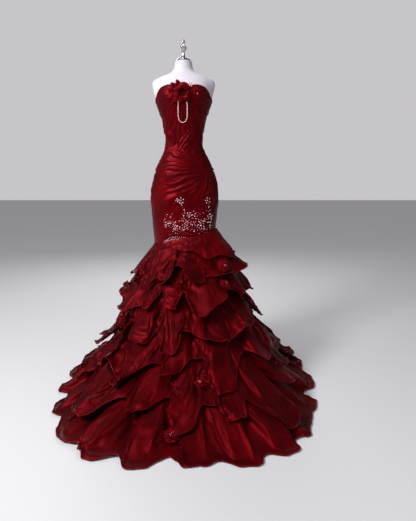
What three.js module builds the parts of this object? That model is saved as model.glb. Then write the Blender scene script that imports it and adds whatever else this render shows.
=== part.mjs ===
// A strapless mermaid evening dress with tiered flounces, on a limbless dress form, in millimetres.
// +Z is up and the dress faces -Y. The origin is the centre of the base plate's underside, on the floor.
// An angle goes round the wearer: 0 at the centre front, 90 degrees at the wearer's left side (+X).
import * as THREE from 'three';

// Driving sizes
const cloth = 2;                 // wall of the cloth
const seamGap = 0.3;             // left between two pieces that are sewn together
const seatGap = 0.4;             // left under a piece that lies on another
const waistSeam = 1370;          // height of the seam between bodice and hips
const skirtSeam = 880;           // and of the seam between hips and skirt, at the centre front
const formClearance = 0.6;       // between the form and the inside of the bodice

// Inside of the cloth at each level: half width, depth to the front and to the back, how much higher
// the level runs at the wearer's left than at the centre, how far its four quarters fill out, and how
// far it lies over to the wearer's left
const shellColumns = ['level', 'side', 'front', 'back', 'climb', 'fill', 'shift'];
const shellRows = [
  [1730, 157, 98, 84, 0, 0, 0],
  [1690, 162, 109, 90, 0, 0, 0],
  [1655, 160, 114, 93, 0, 0, 0],
  [1620, 150, 112, 95, 0, 0, 0],
  [1585, 135, 103, 94, 0, 0, 0],
  [1545, 119, 93, 90, 0, 0, 0],
  [1500, 109, 85, 85, 0, 0, 0],
  [1455, 103, 80, 81, 0, 0, 0],
  [1410, 101, 78, 80, 0, 0, 0],
  [1370, 110, 83, 87, 0, 0, 0],
  [1332, 130, 91, 99, 0, 0, 0],
  [1298, 147, 97, 110, 0, 0, 0],
  [1264, 162, 102, 120, 0, 0, 0],
  [1225, 174, 106, 128, 0, 0, 0],
  [1180, 184, 110, 134, 0, 0, 0],
  [1130, 190, 114, 138, 0, 0, 0],
  [1060, 192, 118, 139, 12, 0, 0],
  [980, 189, 121, 138, 28, 0, 0],
  [880, 181, 125, 136, 42, 0, 0],
  [790, 208, 162, 168, 40, 0, 0],
  [677, 246, 216, 218, 34, 0.01, 0],
  [497, 306, 314, 318, 24, 0.03, 2],
  [300, 380, 440, 452, 12, 0.05, 6],
  [150, 468, 576, 598, 5, 0.08, 12],
  [60, 556, 690, 716, 0, 0.1, 16],
  [0, 630, 792, 832, 0, 0.1, 21],
];

// The form above and below the bodice; arm is the cap over the armhole
const formColumns = ['z', 'side', 'front', 'back', 'arm'];
const formShoulders = [
  [1857, 45, 44, 46, 0],
  [1854, 49, 48, 50, 0],
  [1830, 50, 49, 51, 0],
  [1808, 57, 54, 60, 0],
  [1793, 76, 60, 68, 0],
  [1780, 109, 66, 73, 0],
  [1767, 144, 71, 77, 6],
  [1752, 156, 78, 80, 20],
  [1730, 156, 90, 82, 26],
];
const formHips = [
  [1332, 125, 88, 95, 0],
  [1298, 141, 93, 105, 0],
  [1264, 153, 97, 114, 0],
  [1225, 163, 100, 121, 0],
  [1180, 170, 103, 126, 0],
  [1120, 173, 105, 128, 0],
  [1050, 168, 104, 124, 0],
  [1000, 158, 100, 116, 0],
];

// Neckline: height of the top edge at each angle, the same on both sides
const necklineColumns = ['angle', 'z'];
const necklineRows = [
  [0, 1698],
  [14, 1708],
  [28, 1717],
  [45, 1709],
  [58, 1688],
  [70, 1662],
  [90, 1650],
  [120, 1646],
  [180, 1638],
];

// Bust cups, one on each side
const cup = { angle: 29, z: 1662, out: 13, width: 17, height: 40 };

// Gathers: folds in each panel, how far a fold stands out, and how far its line arches or climbs
const bodiceGathers = { folds: 7, out: 5, arch: 34, climb: 0 };
const hipGathers = { folds: 8, out: 5, arch: 0, climb: 46 };
const bodyColumns = 32;          // facets round the body

// Flounces, from the hips to the floor; the hem of each rises so far, so many times round, and lean is
// how far a fold runs round on its way down
const flounceColumns = ['top', 'hem', 'rise', 'lobes', 'flare', 'swell', 'wave', 'waves', 'lean', 'start', 'rows'];
const flounceRows = [
  [862, 645, 80, 4, 98, 1.1, 22, 9, -1.4, -62, 2],
  [765, 515, 80, 5, 98, 1.5, 30, 11, -1.2, -128, 2],
  [630, 375, 90, 6, 102, 1.5, 34, 13, -1.5, -85, 2],
  [495, 240, 96, 5, 106, 1.5, 38, 14, -1.2, -150, 2],
  [360, 92, 120, 7, 104, 1.4, 40, 16, -1.6, -108, 2],
  [215, 0, 0, 1, 112, 1.4, 34, 19, -1.4, -70, 3],
];

// Drape over the first flounce: it hangs from the same seam, from one angle to another, deepest between
const drape = { top: 877, from: -24, to: 204, drop: 122, least: 16, flare: 112, wave: 10, waves: 11, columns: 42, rows: 2 };
const flounceCuts = [112, 132, 116];     // degrees, the three widths a flounce is cut in
const flounceColumnStep = 4.6;   // degrees from one column of points to the next
const facetSag = 0.0026;         // share of the radius by which a facet lies inside its curve
const pinch = 0.25;              // how far the sides of a wave lean in towards each other
const hemDip = 16;               // a crest of a wave hangs this much lower

// Underskirt, four gores
const goreColumns = 8;

// Roses of rolled cloth: on a flounce, at an angle, and a share of the way from the hem above it to its own
const roseColumns = ['flounce', 'angle', 'down', 'radius', 'height'];
const roseRows = [
  [1, 43, 0.80, 40, 24],
  [2, 40, 0.60, 36, 20],
  [3, -54, 0.55, 50, 28],
  [5, -64, 0.55, 42, 24],
  [5, 10, 0.55, 32, 18],
  [6, -4, 0.50, 42, 22],
  [6, 51, 0.45, 46, 24],
  [2, 168, 0.55, 44, 24],
  [4, -142, 0.55, 44, 24],
];
const bustRose = { z: 1668, radius: 52, height: 30 };
const roseSpokes = 14;
const roseRings = 4;

// String of beads under the rose at the bust: centreline from end to end, x and how far below the rose's centre
const strand = { diameter: 5, sides: 8, steps: 30 };
const strandRoute = [
  [-22.8, 0], [-24.0, 12], [-24.6, 30], [-24.8, 50], [-24.6, 68], [-23.6, 80],
  [-20.0, 93], [-12.0, 103], [0, 107],
];

// Zip at the centre back
const zip = { top: 1622, width: 6, deep: 2.4, long: 9, lug: 1.2, lugOut: 3.2, pullWide: 3, pullThick: 1.2, pullLong: 24 };

// Form's fittings
const pole = { radius: 16, sides: 16 };
const base = { radius: 175, edge: 8, hub: 34, hubTop: 46 };
const neckTop = 1857;
// Neck plate and finial, radius and height above the neck
const platePoints = [[0, 0], [42, 0], [42, 3], [37, 9], [24, 18], [12, 23], [0, 24]];
const finialPoints = [
  [0, 24], [11.5, 24], [11, 28], [8, 34], [7.3, 43], [9.5, 52], [14, 62], [19, 77], [16.5, 77], [12, 68],
  [5, 66], [4.6, 90], [8.5, 96], [10, 102], [8.5, 108], [4.6, 113], [3, 117], [0, 118.5],
];

// Small tools
const radians = THREE.MathUtils.degToRad;
const lerp = THREE.MathUtils.lerp;

function named(columns, rows) {
  return rows.map((row) => Object.fromEntries(columns.map((column, i) => [column, row[i]])));
}

// A table read at any value of its key column, straight between rows
function readTable(table, key, value) {
  const ordered = table[0][key] < table[1][key] ? table : [...table].reverse();
  const next = ordered.findIndex((row) => row[key] >= value);
  if (next < 0) return ordered[ordered.length - 1];
  if (next === 0) return ordered[0];
  const [low, high] = [ordered[next - 1], ordered[next]];
  const share = (value - low[key]) / (high[key] - low[key]);
  return Object.fromEntries(Object.keys(low).map((column) => [column, lerp(low[column], high[column], share)]));
}

const shell = named(shellColumns, shellRows);
const neckline = named(necklineColumns, necklineRows);
const flounces = named(flounceColumns, flounceRows);
const roses = named(roseColumns, roseRows);

// A point on a section at an angle in radians, pushed out by so much
function around(section, angle, z, out = 0) {
  const depth = Math.cos(angle) > 0 ? section.front : section.back;
  const fuller = 1 + (section.fill ?? 0) * Math.sin(2 * angle) ** 2 * (1 + 0.8 * Math.cos(2 * angle));
  const x = (section.side + out) * fuller * Math.sin(angle) + (section.shift ?? 0);
  return new THREE.Vector3(x, -(depth + out) * fuller * Math.cos(angle), z);
}

function shellPoint(angle, level, out = 0) {
  const section = readTable(shell, 'level', level);
  return around(section, angle, level + section.climb * Math.sin(angle), out);
}

function cupOut(angle, z) {
  const turned = THREE.MathUtils.radToDeg(Math.abs(Math.atan2(Math.sin(angle), Math.cos(angle))));
  return cup.out * Math.exp(-(((turned - cup.angle) / cup.width) ** 2) - ((z - cup.z) / cup.height) ** 2);
}

const bodyPoint = (angle, level) => shellPoint(angle, level, cupOut(angle, level));

const necklineAt = (angle) => {
  const turned = Math.abs(Math.atan2(Math.sin(angle), Math.cos(angle)));
  return readTable(neckline, 'angle', THREE.MathUtils.radToDeg(turned)).z;
};

// Outward direction of a surface of angle and share down it
function outward(surface, angle, share) {
  const step = 1e-3;
  const across = surface(angle + step, share).sub(surface(angle - step, share));
  const down = surface(angle, share + step).sub(surface(angle, share - step));
  return down.cross(across).normalize();
}

// A wall of cloth on the outside of a surface: closed, with the relief in its outer points only
function clothWall({ surface, from, to, columns, rows, relief = () => 0 }) {
  const inner = [];
  const outer = [];
  const inset = (angle, share) => {
    const step = 1e-3;
    return (seamGap * step) / surface(angle + step, share).distanceTo(surface(angle - step, share));
  };
  for (let j = 0; j <= rows; j += 1) {
    const share = j / rows;
    for (let i = 0; i <= columns; i += 1) {
      const angle = lerp(from + inset(from, share), to - inset(to, share), i / columns);
      const point = surface(angle, share);
      const normal = outward(surface, angle, share);
      inner.push(point);
      outer.push(point.clone().addScaledVector(normal, cloth + relief(angle, share)));
    }
  }
  return closedWall(inner, outer, columns, rows);
}

// Both sides of a seam are split the same way, so that the pieces' edges stay parallel
function closedWall(inner, outer, columns, rows) {
  const across = columns + 1;
  const inside = outer.length;
  const faces = [];
  const quad = (a, b, c, d) => faces.push(a, b, c, a, c, d);
  for (let j = 0; j < rows; j += 1) {
    for (let i = 0; i < columns; i += 1) {
      const topLeft = j * across + i;
      const [topRight, lowLeft, lowRight] = [topLeft + 1, topLeft + across, topLeft + across + 1];
      quad(topLeft, lowLeft, lowRight, topRight);
      quad(inside + topLeft, inside + topRight, inside + lowRight, inside + lowLeft);
    }
    const [topLeft, lowLeft] = [j * across, (j + 1) * across];
    const [topRight, lowRight] = [topLeft + columns, lowLeft + columns];
    quad(lowLeft, topLeft, inside + topLeft, inside + lowLeft);
    quad(lowRight, inside + lowRight, inside + topRight, topRight);
  }
  const foot = rows * across;
  for (let i = 0; i < columns; i += 1) {
    quad(i, i + 1, inside + i + 1, inside + i);
    quad(foot + i + 1, foot + i, inside + foot + i, inside + foot + i + 1);
  }
  return indexed([...outer, ...inner], faces);
}

function indexed(points, faces) {
  const geometry = new THREE.BufferGeometry();
  geometry.setAttribute('position', new THREE.Float32BufferAttribute(points.flatMap((p) => p.toArray()), 3));
  geometry.setIndex(faces);
  geometry.computeVertexNormals();
  return geometry;
}

// A closed solid through level rings of points, flat at both ends; the rings go down
function stacked(rings) {
  const around = rings[0].length;
  const points = rings.flat();
  const faces = [];
  for (let j = 0; j < rings.length - 1; j += 1) {
    for (let i = 0; i < around; i += 1) {
      const next = (i + 1) % around;
      const [topLeft, topRight] = [j * around + i, j * around + next];
      const [lowLeft, lowRight] = [topLeft + around, topRight + around];
      faces.push(topLeft, lowLeft, lowRight, topLeft, lowRight, topRight);
    }
  }
  const middle = (ring) => ring.reduce((sum, p) => sum.add(p), new THREE.Vector3()).divideScalar(around);
  const [top, foot] = [points.length, points.length + 1];
  points.push(middle(rings[0]), middle(rings[rings.length - 1]));
  for (let i = 0; i < around; i += 1) {
    const next = (i + 1) % around;
    faces.push(top, i, next);
    faces.push(foot, (rings.length - 1) * around + next, (rings.length - 1) * around + i);
  }
  return indexed(points, faces);
}

// Materials
const materials = {
  taffeta: new THREE.MeshStandardMaterial({ color: 0x6d0612, roughness: 0.45, metalness: 0 }),
  organza: new THREE.MeshStandardMaterial({ color: 0x62050f, roughness: 0.5, metalness: 0 }),
  lining: new THREE.MeshStandardMaterial({ color: 0x3a0309, roughness: 0.6, metalness: 0 }),
  jersey: new THREE.MeshStandardMaterial({ color: 0xe9e2ea, roughness: 0.8, metalness: 0 }),
  metal: new THREE.MeshStandardMaterial({ color: 0xc9c2c4, roughness: 0.25, metalness: 1 }),
  steel: new THREE.MeshStandardMaterial({ color: 0x2b2a2c, roughness: 0.45, metalness: 0.6 }),
  glass: new THREE.MeshStandardMaterial({ color: 0xd8ccd6, roughness: 0.15, metalness: 0.2 }),
};

const dress = new THREE.Group();

function add(name, geometry, material) {
  const mesh = new THREE.Mesh(geometry, material);
  mesh.name = name;
  dress.add(mesh);
  return mesh;
}

// Bodice and hips: each row of points follows a fold, in turn its ridge and its valley
const bodiceSurface = (angle, share) => {
  const lifted = bodiceGathers.arch * Math.cos(angle) ** 2 * Math.sin(Math.PI * share);
  return bodyPoint(angle, lerp(necklineAt(angle), waistSeam + seamGap / 2, share) + lifted);
};
const hipSurface = (angle, share) => {
  const climbed = hipGathers.climb * Math.sin(angle) * Math.sin(Math.PI * share);
  return bodyPoint(angle, lerp(waistSeam - seamGap / 2, skirtSeam + seamGap / 2, share) + climbed);
};
const gathered = ({ folds, out }) => (angle, share) => {
  const ridge = 0.5 - 0.5 * Math.cos(2 * Math.PI * folds * share);
  return out * ridge * (0.7 + 0.3 * Math.cos(3 * angle + 4 * share));
};

function addBody(part, surface, gathers) {
  const panels = [
    { side: 'front', from: -90, to: 90 },
    { side: 'back_left', from: 90, to: 180 },
    { side: 'back_right', from: 180, to: 270 },
  ];
  const relief = gathered(gathers);
  for (const { side, from, to } of panels) {
    const columns = (bodyColumns * (to - from)) / 360;
    const rows = 2 * gathers.folds;
    const geometry = clothWall({ surface, from: radians(from), to: radians(to), columns, rows, relief });
    add(`${part}_${side}`, geometry, materials.taffeta);
  }
}
addBody('bodice', bodiceSurface, bodiceGathers);
addBody('hip', hipSurface, hipGathers);

// Underskirt: its rows are the levels of the shell's own sections
function addUnderskirt() {
  const levels = [skirtSeam - seamGap / 2, ...shell.map((row) => row.level).filter((level) => level < skirtSeam)];
  const rows = levels.length - 1;
  const surface = (angle, share) => {
    const step = THREE.MathUtils.clamp(Math.floor(share * rows), 0, rows - 1);
    return shellPoint(angle, lerp(levels[step], levels[step + 1], share * rows - step));
  };
  ['front', 'left', 'back', 'right'].forEach((side, quarter) => {
    const from = radians(90 * quarter - 45);
    const to = radians(90 * quarter + 45);
    const geometry = clothWall({ surface, from, to, columns: goreColumns, rows });
    add(`underskirt_${side}`, geometry, materials.lining);
  });
}
addUnderskirt();

// Flounces: waves that grow towards a hem that rises and falls, and lie still under a rose
const hemAt = (index, angle) => {
  const { hem, rise, lobes } = flounces[index];
  const turn = lobes * angle + 2.3 * index + 0.8 * Math.sin(2 * angle);
  return hem + rise * (0.5 + 0.38 * Math.cos(turn) + 0.12 * Math.cos(2 * turn + index));
};

function rosePlace(rose) {
  const index = rose.flounce - 1;
  const angle = radians(rose.angle);
  const above = index > 0 ? hemAt(index - 1, angle) : flounces[index].top;
  const level = lerp(above, hemAt(index, angle), rose.down);
  return { angle, share: (flounces[index].top - level) / (flounces[index].top - hemAt(index, angle)) };
}

// How far the top edge of a flounce stands out to lie on the underskirt's wall
function flounceSeat(top) {
  const [high, low] = [top, top - 10].map((level) => readTable(shell, 'level', level));
  const slope = Math.max((low.side - high.side) / 10, (low.front - high.front) / 10, (low.back - high.back) / 10);
  return cloth * Math.hypot(1, slope) + facetSag * high.front + seamGap;
}

function flounceSurface(flounce, index) {
  const phase = (angle, share) => flounce.waves * angle + flounce.lean * share
    + 0.6 * Math.sin(3 * angle + index) + 0.35 * Math.sin(5 * angle + 2 * index);
  const uneven = (angle) => 0.8 + 0.28 * Math.sin(2 * angle + 1.7 * index) + 0.14 * Math.sin(7 * angle + index);
  const drop = flounce.top - flounce.hem;
  const seat = flounceSeat(flounce.top);
  const pinned = roses.filter((rose) => rose.flounce === index + 1).map((rose) => {
    const { angle, share } = rosePlace(rose);
    const { x, y } = shellPoint(angle, lerp(flounce.top, flounce.hem, share), flounce.flare);
    return { angle, share, reach: 1.1 * rose.radius, distance: Math.hypot(x, y) };
  });
  const free = (angle, share) => pinned.reduce((product, pin) => {
    const turned = Math.atan2(Math.sin(angle - pin.angle), Math.cos(angle - pin.angle));
    const away = Math.hypot(turned * pin.distance, (share - pin.share) * drop) / pin.reach;
    return product * (1 - Math.exp(-(away ** 2)));
  }, 1);
  return (angle, share) => {
    const swollen = Math.max(share, 0) ** flounce.swell;
    const grown = swollen * free(angle, share);
    const crest = Math.cos(phase(angle, share));
    const dip = flounce.rise > 0 ? hemDip * crest * grown : 0;
    const level = Math.max(lerp(flounce.top, hemAt(index, angle), share) - dip, 0);
    const out = seat + flounce.flare * swollen + flounce.wave * grown * uneven(angle) * crest;
    const turned = angle + (pinch / flounce.waves) * grown * Math.sin(2 * phase(angle, share));
    return shellPoint(turned, level, out);
  };
}

const tiers = flounces.map((flounce, index) => {
  const surface = flounceSurface(flounce, index);
  let from = flounce.start;
  const meshes = flounceCuts.map((_, turn) => {
    const width = flounceCuts[(turn + index) % flounceCuts.length];
    const to = from + width;
    const geometry = clothWall({
      surface,
      from: radians(from),
      to: radians(to),
      columns: Math.round(width / flounceColumnStep),
      rows: flounce.rows,
    });
    from = to;
    return add(`flounce_${index + 1}_cut_${turn + 1}`, geometry, materials.organza);
  });
  return { surface, meshes };
});

// Drape: a crescent of cloth round the wearer's left side, over the first flounce
function addDrape() {
  const [from, to] = [radians(drape.from), radians(drape.to)];
  const surface = (angle, share) => {
    const across = THREE.MathUtils.clamp((angle - from) / (to - from), 0, 1);
    const deep = lerp(drape.least, drape.drop, Math.sin(Math.PI * across) ** 0.7) / drape.drop;
    const down = deep * Math.max(share, 0);
    const crest = Math.cos(drape.waves * angle + 1.1 * share);
    const out = flounceSeat(drape.top) + drape.flare * down + drape.wave * down * share * crest;
    return shellPoint(angle, drape.top - drape.drop * down, out);
  };
  const geometry = clothWall({ surface, from, to, columns: drape.columns, rows: drape.rows });
  add('drape_side', geometry, materials.taffeta);
}
addDrape();

// Roses: a coiled strip seen as spiral ridges round a hollow heart, on a flat back
function roseGeometry(radius, height) {
  const points = [];
  const faces = [];
  const at = (ring, spoke) => 1 + ring * roseSpokes + (spoke % roseSpokes);
  points.push(new THREE.Vector3(0, 0, height * 0.45));
  for (let ring = 0; ring < roseRings; ring += 1) {
    for (let spoke = 0; spoke < roseSpokes; spoke += 1) {
      const turn = spoke / roseSpokes;
      const share = (ring + 1) / roseRings;
      const coil = 0.5 + 0.5 * Math.cos(2 * Math.PI * (2 * turn + ring / 2));
      const reach = radius * share * (ring === roseRings - 1 ? 1 : 0.92 + 0.12 * coil);
      const stands = height * (ring === roseRings - 1 ? 0.2 : 0.62 + 0.38 * coil - 0.2 * share);
      const angle = 2 * Math.PI * turn - Math.PI / 2;
      points.push(new THREE.Vector3(reach * Math.cos(angle), reach * Math.sin(angle), stands));
    }
  }
  const back = points.length;
  for (let spoke = 0; spoke < roseSpokes; spoke += 1) {
    const rim = points[at(roseRings - 1, spoke)];
    points.push(new THREE.Vector3(rim.x, rim.y, 0));
  }
  const foot = points.push(new THREE.Vector3(0, 0, 0)) - 1;
  for (let spoke = 0; spoke < roseSpokes; spoke += 1) {
    const next = (spoke + 1) % roseSpokes;
    faces.push(0, at(0, spoke), at(0, next));
    for (let ring = 0; ring < roseRings - 1; ring += 1) {
      faces.push(at(ring, spoke), at(ring + 1, spoke), at(ring + 1, next));
      faces.push(at(ring, spoke), at(ring + 1, next), at(ring, next));
    }
    const [rimHere, rimNext] = [at(roseRings - 1, spoke), at(roseRings - 1, next)];
    faces.push(rimHere, back + spoke, back + next, rimHere, back + next, rimNext);
    faces.push(foot, back + next, back + spoke);
  }
  return indexed(points, faces);
}

// How far a flat back has to stand out along a direction to lie on the meshes under it
function seatOut(centre, normal, radius, meshes) {
  const corners = [0, 1, 2].map(() => new THREE.Vector3());
  const point = new THREE.Vector3();
  const fine = 16;
  let out = 0;
  for (const { geometry } of meshes) {
    const position = geometry.getAttribute('position');
    for (let f = 0; f < geometry.index.count; f += 3) {
      corners.forEach((corner, k) => corner.fromBufferAttribute(position, geometry.index.getX(f + k)));
      for (let u = 0; u <= fine; u += 1) {
        for (let v = 0; v <= fine - u; v += 1) {
          point.copy(corners[0]).multiplyScalar((fine - u - v) / fine);
          point.addScaledVector(corners[1], u / fine).addScaledVector(corners[2], v / fine).sub(centre);
          const along = point.dot(normal);
          const away = Math.sqrt(Math.max(point.lengthSq() - along * along, 0));
          if (away < radius + 4 && Math.abs(along) < radius) out = Math.max(out, along);
        }
      }
    }
  }
  return out + seatGap;
}

function addRose(name, centre, normal, radius, height, under) {
  const rose = add(name, roseGeometry(radius, height), materials.taffeta);
  const up = new THREE.Vector3(0, 0, 1);
  const sideways = up.clone().cross(normal).normalize();
  const level = normal.clone().cross(sideways);
  rose.setRotationFromMatrix(new THREE.Matrix4().makeBasis(sideways, level, normal));
  rose.position.copy(centre).addScaledVector(normal, seatOut(centre, normal, radius, under));
  return rose;
}

roses.forEach((rose, i) => {
  const { surface, meshes } = tiers[rose.flounce - 1];
  const { angle, share } = rosePlace(rose);
  const reach = 0.08;
  const normal = new THREE.Vector3();
  for (const side of [-reach, 0, reach]) normal.add(outward(surface, angle + side, share));
  addRose(`rose_skirt_${i + 1}`, surface(angle, share), normal.normalize(), rose.radius, rose.height, meshes);
});

const bustNormal = new THREE.Vector3(0, -1, 0);
const bodiceFront = dress.getObjectByName('bodice_front');
const bustCentre = bodyPoint(0, bustRose.z);
const roseAtBust = addRose('rose_bust', bustCentre, bustNormal, bustRose.radius, bustRose.height, [bodiceFront]);

// String of beads: both ends meet the edge of the rose, and it hangs clear of the bodice
function addStrand() {
  const halfWay = strandRoute.length - 1;
  const below = (x) => Math.sqrt(bustRose.radius ** 2 - x ** 2);
  const start = roseAtBust.position.z - below(strandRoute[0][0]) - 1;
  const y = roseAtBust.position.y - bustRose.height * 0.1;
  const left = strandRoute.map(([x, down]) => new THREE.Vector3(x, y, start - down));
  const right = left.slice(0, halfWay).reverse().map((p) => new THREE.Vector3(-p.x, p.y, p.z));
  const path = new THREE.CatmullRomCurve3([...left, ...right]);
  const section = new THREE.Shape(Array.from({ length: strand.sides }, (_, i) => {
    const angle = (2 * Math.PI * i) / strand.sides;
    return new THREE.Vector2(Math.cos(angle), Math.sin(angle)).multiplyScalar(strand.diameter / 2);
  }));
  const geometry = new THREE.ExtrudeGeometry(section, { steps: strand.steps, extrudePath: path, bevelEnabled: false });
  add('bead_strand', geometry, materials.glass);
}
addStrand();

// Zip: the slider at its closed place on the centre back seam, and its pull on a hinge between two lugs
function addZip() {
  const backs = ['bodice_back_left', 'bodice_back_right'].map((name) => dress.getObjectByName(name));
  const middle = bodyPoint(Math.PI, zip.top - zip.long / 2);
  const seat = middle.y + seatOut(middle, new THREE.Vector3(0, 1, 0), zip.width / 2, backs);
  const [half, inside, deep, lugTop] = [zip.width / 2, zip.width / 2 - zip.lug, seat + zip.deep, seat + zip.deep + zip.lugOut];
  const plate = new THREE.Shape([
    [-half, seat], [half, seat], [half, lugTop], [inside, lugTop],
    [inside, deep], [-inside, deep], [-inside, lugTop], [-half, lugTop],
  ].map(([x, y]) => new THREE.Vector2(x, y)));
  const slider = new THREE.ExtrudeGeometry(plate, { depth: zip.long, bevelEnabled: false });
  slider.translate(0, 0, zip.top - zip.long);
  add('zip_slider', slider, materials.metal);

  const thin = zip.pullThick / 2;
  const outline = new THREE.Shape();
  outline.moveTo(thin, 0);
  outline.absarc(0, 0, thin, 0, Math.PI, false);
  outline.lineTo(-thin, -zip.pullLong);
  outline.lineTo(thin, -zip.pullLong);
  const pull = new THREE.ExtrudeGeometry(outline, { depth: zip.pullWide, bevelEnabled: false, curveSegments: 4 });
  pull.translate(0, 0, -zip.pullWide / 2);
  pull.applyMatrix4(new THREE.Matrix4().makeBasis(
    new THREE.Vector3(0, 1, 0), new THREE.Vector3(0, 0, 1), new THREE.Vector3(1, 0, 0)));
  add('zip_pull', pull, materials.metal).position.set(0, seat + zip.deep + zip.lugOut / 2 + 0.4, zip.top - 2.5);
}
addZip();

// Dress form: torso, neck plate, turned finial, pole and base
const formAngles = Array.from({ length: bodyColumns }, (_, i) => (2 * Math.PI * i) / bodyColumns);

function formRing({ z, side, front, back, arm }) {
  return formAngles.map((angle) => {
    const turned = Math.abs(Math.abs(Math.atan2(Math.sin(angle), Math.cos(angle))) - Math.PI / 2);
    const cap = arm * Math.max(0, Math.cos(Math.min(turned / radians(24), 1) * Math.PI / 2)) ** 0.7;
    return around({ side: side + cap, front, back }, angle, z);
  });
}

function addForm() {
  const underBodice = Array.from({ length: 2 * bodiceGathers.folds + 1 }, (_, j) => {
    const share = j / (2 * bodiceGathers.folds);
    return formAngles.map((angle) =>
      bodiceSurface(angle, share).addScaledVector(outward(bodiceSurface, angle, share), -formClearance));
  });
  const shoulders = named(formColumns, formShoulders).map(formRing);
  const hips = named(formColumns, formHips).map(formRing);
  add('form_torso', stacked([...shoulders, ...underBodice, ...hips]), materials.jersey);

  const upright = (profile, segments) => {
    const geometry = new THREE.LatheGeometry(profile.map(([r, z]) => new THREE.Vector2(r, z)), segments);
    return geometry.rotateX(Math.PI / 2);
  };
  const raised = (profile, z) => profile.map(([r, high]) => [r, high + z]);
  add('form_neck_plate', upright(raised(platePoints, neckTop + seamGap), 24), materials.metal);
  add('form_finial', upright(raised(finialPoints, neckTop + 2 * seamGap), 12), materials.metal);

  const torsoFoot = formHips[formHips.length - 1][0];
  add('form_socket', upright([
    [0, torsoFoot - seamGap - 60], [24, torsoFoot - seamGap - 60], [24, torsoFoot - seamGap - 8],
    [60, torsoFoot - seamGap - 6], [60, torsoFoot - seamGap], [0, torsoFoot - seamGap],
  ], 16), materials.steel);
  const poleTop = torsoFoot - 2 * seamGap - 60;
  add('form_pole', upright([
    [0, base.hubTop + seamGap], [pole.radius, base.hubTop + seamGap], [pole.radius, poleTop], [0, poleTop],
  ], pole.sides), materials.steel);
  add('form_base', upright([
    [0, 0], [base.radius, 0], [base.radius, base.edge], [base.hub + 20, base.edge + 8],
    [base.hub, base.edge + 14], [base.hub - 8, base.hubTop], [0, base.hubTop],
  ], 24), materials.steel);
}
addForm();

export default dress;
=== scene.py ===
from math import asin, atan2, cos, degrees, exp, floor, hypot, pi, radians, sin, sqrt

import bmesh
import bpy
from mathutils import Matrix, Vector, noise


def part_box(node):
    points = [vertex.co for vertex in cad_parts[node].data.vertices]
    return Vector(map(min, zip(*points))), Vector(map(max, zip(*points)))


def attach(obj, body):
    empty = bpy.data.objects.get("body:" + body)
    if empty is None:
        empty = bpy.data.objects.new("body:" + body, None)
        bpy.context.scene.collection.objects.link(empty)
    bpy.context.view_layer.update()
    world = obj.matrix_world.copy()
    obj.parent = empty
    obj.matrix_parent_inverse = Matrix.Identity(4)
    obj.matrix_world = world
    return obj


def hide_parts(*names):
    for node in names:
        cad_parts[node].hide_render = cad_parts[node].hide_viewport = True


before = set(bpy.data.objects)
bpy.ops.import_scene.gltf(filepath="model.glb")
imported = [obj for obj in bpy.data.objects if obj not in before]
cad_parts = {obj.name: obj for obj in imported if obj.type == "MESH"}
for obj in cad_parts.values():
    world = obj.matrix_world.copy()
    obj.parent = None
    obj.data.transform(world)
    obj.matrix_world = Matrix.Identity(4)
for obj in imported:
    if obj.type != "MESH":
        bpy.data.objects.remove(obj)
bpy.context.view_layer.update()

mm = 0.001


def addObject(name, data):
    made = bpy.data.objects.new(name, data)
    bpy.context.scene.collection.objects.link(made)
    return made


def plainObject(name, bm):
    mesh = bpy.data.meshes.new(name)
    bm.to_mesh(mesh)
    bm.free()
    return addObject(name, mesh)


def flatSquare(name, size):
    bm = bmesh.new()
    bmesh.ops.create_grid(bm, x_segments=1, y_segments=1, size=size)
    return plainObject(name, bm)


def lerp(a, b, share):
    return a + (b - a) * share


def ease(share):
    share = min(max(share, 0.0), 1.0)
    return share * share * (3 - 2 * share)


def wrapped(angle):
    return atan2(sin(angle), cos(angle))


def spline(a, b, c, d, t):
    # a smooth curve through b and c, as t goes from 0 to 1
    return 0.5 * ((2 * b) + (c - a) * t + (2 * a - 5 * b + 4 * c - d) * t * t
                  + (3 * b - a - 3 * c + d) * t ** 3)


def linear(hexValue):
    # an sRGB hex value as the linear colour that a shader takes
    parts = [int(hexValue[i:i + 2], 16) / 255 for i in (1, 3, 5)]
    return [c / 12.92 if c <= 0.04045 else ((c + 0.055) / 1.055) ** 2.4 for c in parts] + [1.0]


def smoothTable(rows, step):
    # rows of (key, values...) read at any key, along curves that never overshoot a row
    rows = sorted(rows)
    keys = [row[0] for row in rows]
    columns = []
    for column in list(zip(*rows))[1:]:
        secants = [(column[i + 1] - column[i]) / (keys[i + 1] - keys[i]) for i in range(len(keys) - 1)]
        slopes = [secants[0]]
        for left, right in zip(secants, secants[1:]):
            slopes.append(0.0 if left * right <= 0 else 2 * left * right / (left + right))
        slopes.append(secants[-1])
        columns.append((column, slopes))
    dense = []
    i = 0
    count = int((keys[-1] - keys[0]) / step) + 1
    for k in range(count + 1):
        key = min(keys[0] + k * step, keys[-1])
        while i < len(keys) - 2 and key > keys[i + 1]:
            i += 1
        wide = keys[i + 1] - keys[i]
        t = (key - keys[i]) / wide
        values = []
        for column, slopes in columns:
            a = (1 + 2 * t) * (1 - t) ** 2 * column[i] + t * t * (3 - 2 * t) * column[i + 1]
            b = t * (1 - t) ** 2 * wide * slopes[i] - t * t * (1 - t) * wide * slopes[i + 1]
            values.append(a + b)
        dense.append(values)

    def read(key):
        place = min(max((key - keys[0]) / step, 0.0), count - 0.001)
        low = int(place)
        share = place - low
        return [lerp(a, b, share) for a, b in zip(dense[low], dense[low + 1])]
    return read


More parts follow.
